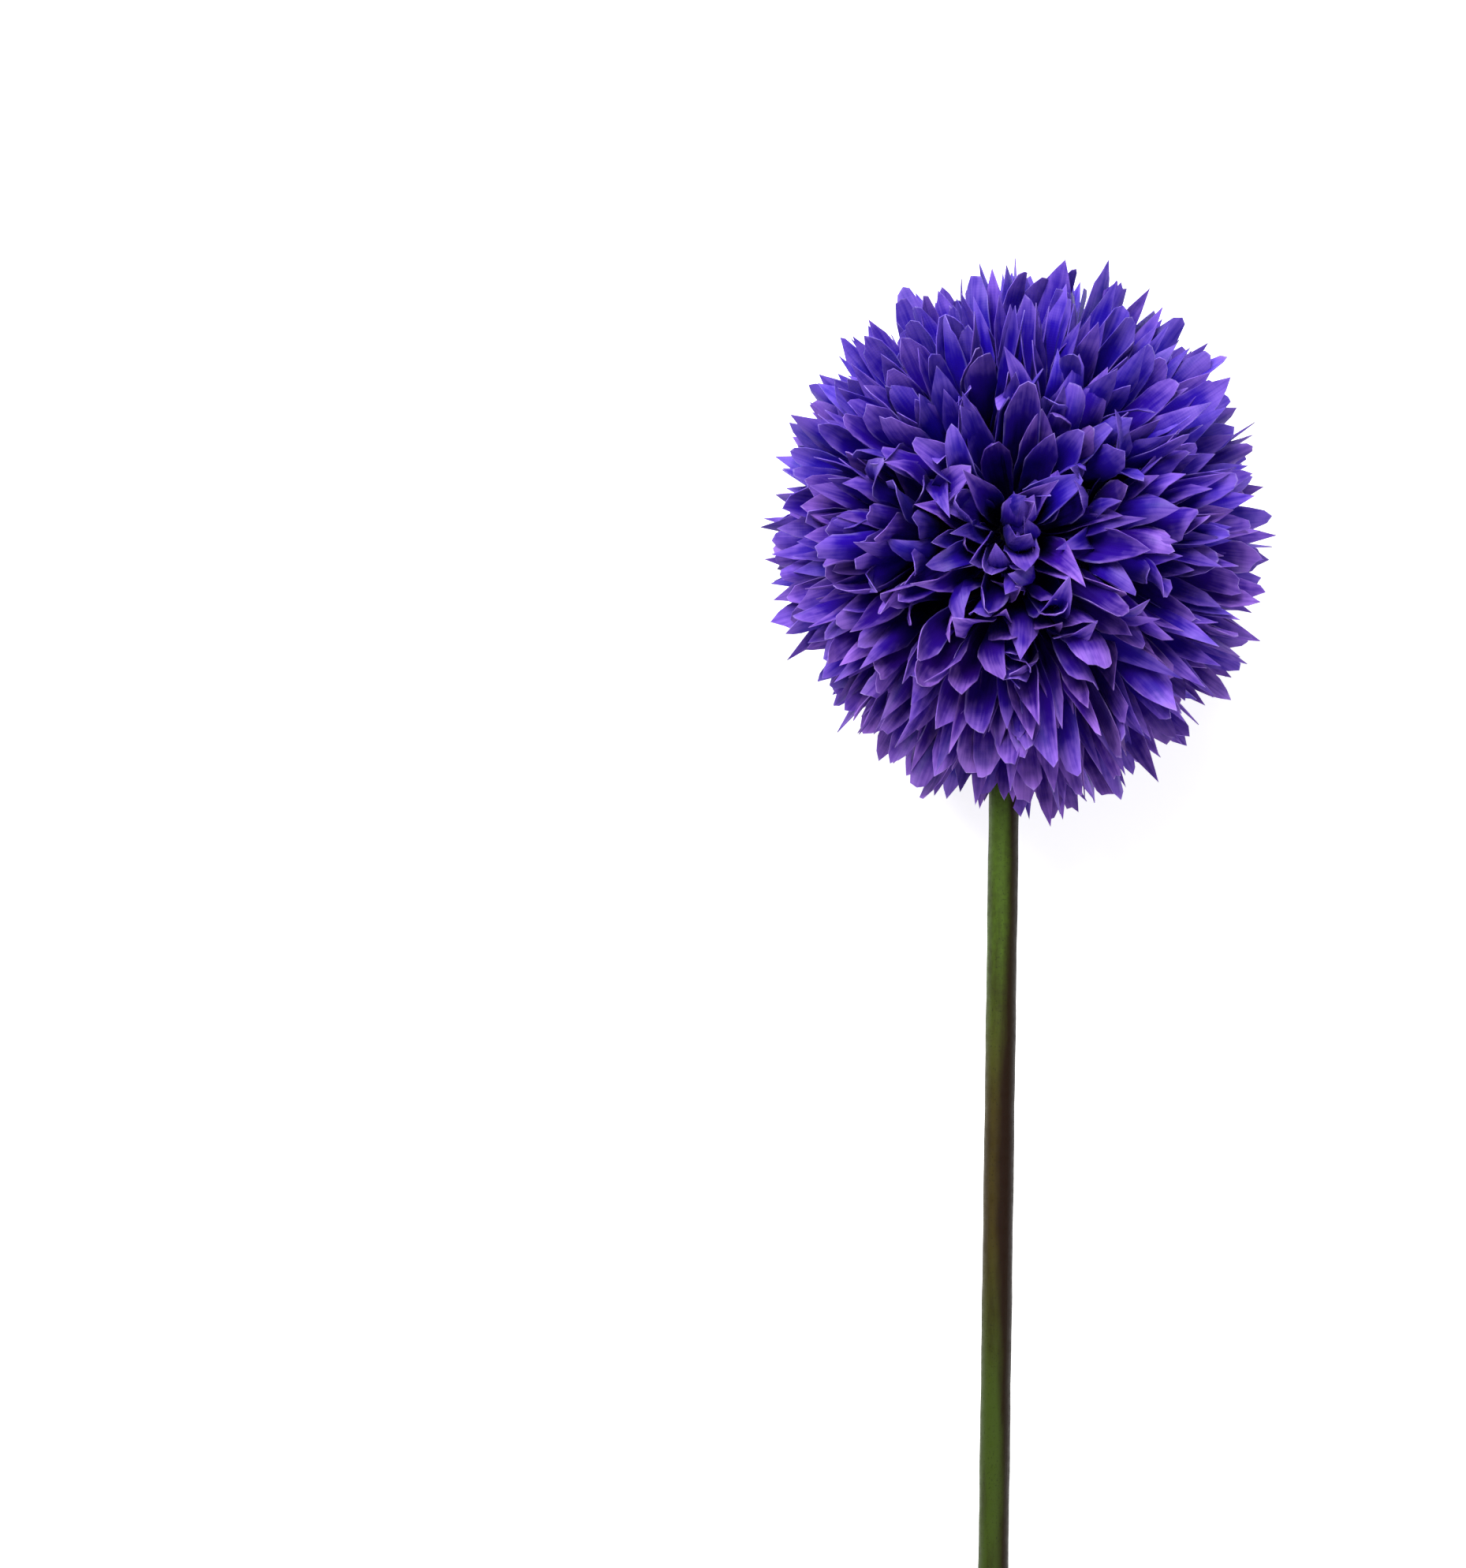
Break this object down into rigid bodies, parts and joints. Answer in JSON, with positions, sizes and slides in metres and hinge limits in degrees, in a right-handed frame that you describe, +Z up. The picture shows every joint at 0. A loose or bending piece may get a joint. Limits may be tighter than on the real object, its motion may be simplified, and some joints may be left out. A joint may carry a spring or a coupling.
{
  "type": "allium flower head",
  "caption": "Artificial allium pompon: a globe of violet fabric petals round a moulded ball, on a green stem with a wire core, lying on its side.",
  "frame": {"origin": "middle of the whole flower's box at its lowest level, which is the surface that the petals and the stem's cut end rest on", "axes": "+Y from the cut end of the stem towards the head, +Z up from the surface, +X across the stem"},
  "size_m": [0.109, 0.2868, 0.1023],
  "materials": {
    "petal_fabric": "woven polyester, violet, paler at the cut edges and tips",
    "core_plastic": "moulded, dark violet",
    "stem_plastic": "extruded polyethylene, mottled moss green with brown",
    "stem_wire": "drawn wire, cut end"
  },
  "bodies": {
    "root": {"core_ball": "core_plastic", "crown_floret_inner_petals": "petal_fabric", "crown_floret_middle_petals": "petal_fabric", "crown_floret_outer_petals": "petal_fabric", "lower_floret_1_inner_petals": "petal_fabric", "lower_floret_1_middle_petals": "petal_fabric", "lower_floret_1_outer_petals": "petal_fabric", "lower_floret_2_inner_petals": "petal_fabric", "lower_floret_2_middle_petals": "petal_fabric", "lower_floret_2_outer_petals": "petal_fabric", "lower_floret_3_inner_petals": "petal_fabric", "lower_floret_3_middle_petals": "petal_fabric", "lower_floret_3_outer_petals": "petal_fabric", "lower_floret_4_inner_petals": "petal_fabric", "lower_floret_4_middle_petals": "petal_fabric", "lower_floret_4_outer_petals": "petal_fabric", "lower_floret_5_inner_petals": "petal_fabric", "lower_floret_5_middle_petals": "petal_fabric", "lower_floret_5_outer_petals": "petal_fabric", "middle_floret_1_inner_petals": "petal_fabric", "middle_floret_1_middle_petals": "petal_fabric", "middle_floret_1_outer_petals": "petal_fabric", "middle_floret_2_inner_petals": "petal_fabric", "middle_floret_2_middle_petals": "petal_fabric", "middle_floret_2_outer_petals": "petal_fabric", "middle_floret_3_inner_petals": "petal_fabric", "middle_floret_3_middle_petals": "petal_fabric", "middle_floret_3_outer_petals": "petal_fabric", "middle_floret_4_inner_petals": "petal_fabric", "middle_floret_4_middle_petals": "petal_fabric", "middle_floret_4_outer_petals": "petal_fabric", "middle_floret_5_inner_petals": "petal_fabric", "middle_floret_5_middle_petals": "petal_fabric", "middle_floret_5_outer_petals": "petal_fabric", "middle_floret_6_inner_petals": "petal_fabric", "middle_floret_6_middle_petals": "petal_fabric", "middle_floret_6_outer_petals": "petal_fabric", "middle_floret_7_inner_petals": "petal_fabric", "middle_floret_7_middle_petals": "petal_fabric", "middle_floret_7_outer_petals": "petal_fabric", "skirt_inner_petals": "petal_fabric", "skirt_middle_petals": "petal_fabric", "skirt_outer_petals": "petal_fabric", "stem_sheath": "stem_plastic", "stem_wire": "stem_wire", "upper_floret_1_inner_petals": "petal_fabric", "upper_floret_1_middle_petals": "petal_fabric", "upper_floret_1_outer_petals": "petal_fabric", "upper_floret_2_inner_petals": "petal_fabric", "upper_floret_2_middle_petals": "petal_fabric", "upper_floret_2_outer_petals": "petal_fabric", "upper_floret_3_inner_petals": "petal_fabric", "upper_floret_3_middle_petals": "petal_fabric", "upper_floret_3_outer_petals": "petal_fabric", "upper_floret_4_inner_petals": "petal_fabric", "upper_floret_4_middle_petals": "petal_fabric", "upper_floret_4_outer_petals": "petal_fabric", "upper_floret_5_inner_petals": "petal_fabric", "upper_floret_5_middle_petals": "petal_fabric", "upper_floret_5_outer_petals": "petal_fabric"}
  },
  "joints": []
}
